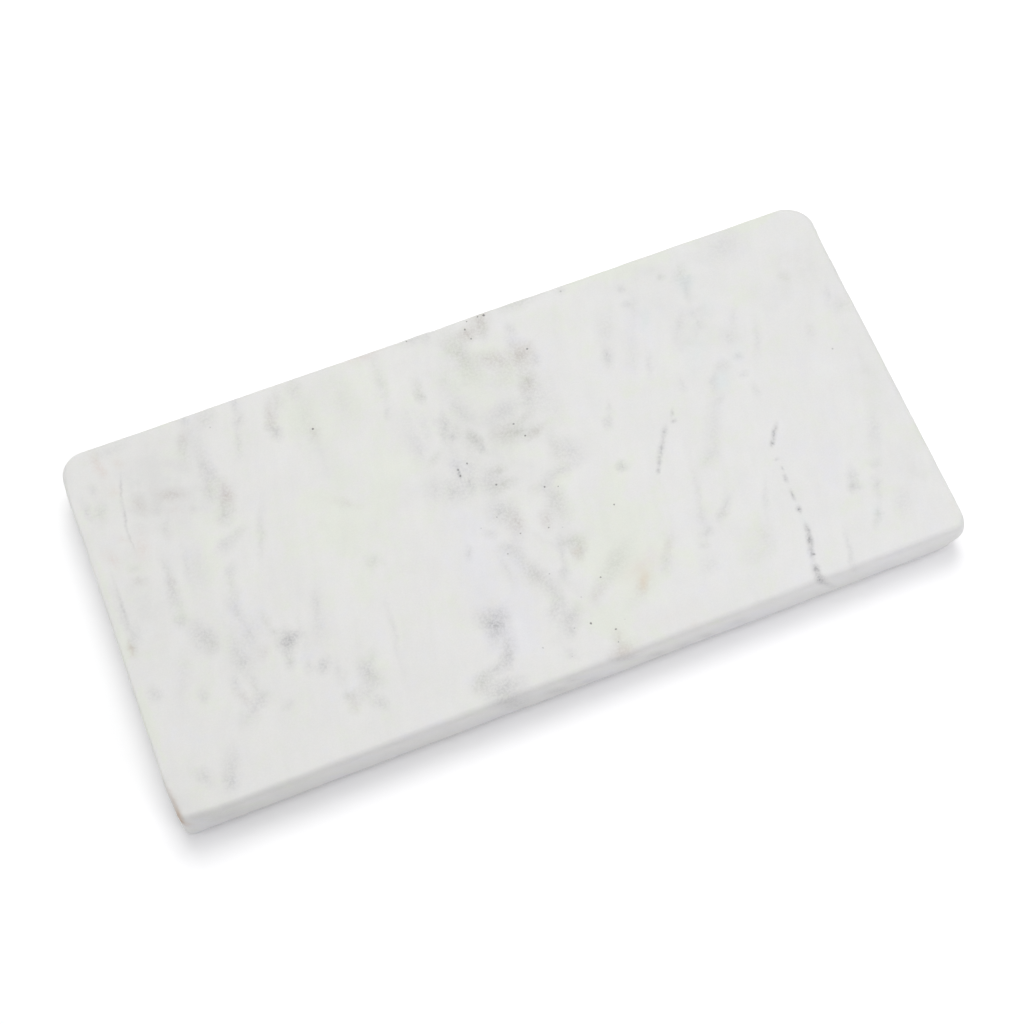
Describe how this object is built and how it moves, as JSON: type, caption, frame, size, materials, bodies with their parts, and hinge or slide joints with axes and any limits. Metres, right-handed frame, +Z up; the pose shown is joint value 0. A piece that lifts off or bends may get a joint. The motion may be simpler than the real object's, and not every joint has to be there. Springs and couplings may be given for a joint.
{
  "type": "marble chopping board",
  "caption": "Rectangular white marble chopping board with hand-rounded corners, a softly worn upper edge and low stick-on feet under it.",
  "frame": {"origin": "under the middle of the board, on the surface that it stands on", "axes": "+X along the board's length, +Y across it towards the back, +Z up through its thickness"},
  "size_m": [0.305, 0.148, 0.0207],
  "materials": {
    "marble": "honed white marble with faint grey clouds and veins",
    "bumper_rubber": "milky translucent moulded polyurethane",
    "adhesive": "pale self-adhesive film"
  },
  "bodies": {
    "root": {"marble_slab": "marble", "foot_front_left": "bumper_rubber", "foot_front_right": "bumper_rubber", "foot_back_left": "bumper_rubber", "foot_back_right": "bumper_rubber", "adhesive_disc_front_left": "adhesive", "adhesive_disc_front_right": "adhesive", "adhesive_disc_back_left": "adhesive", "adhesive_disc_back_right": "adhesive"}
  },
  "joints": []
}
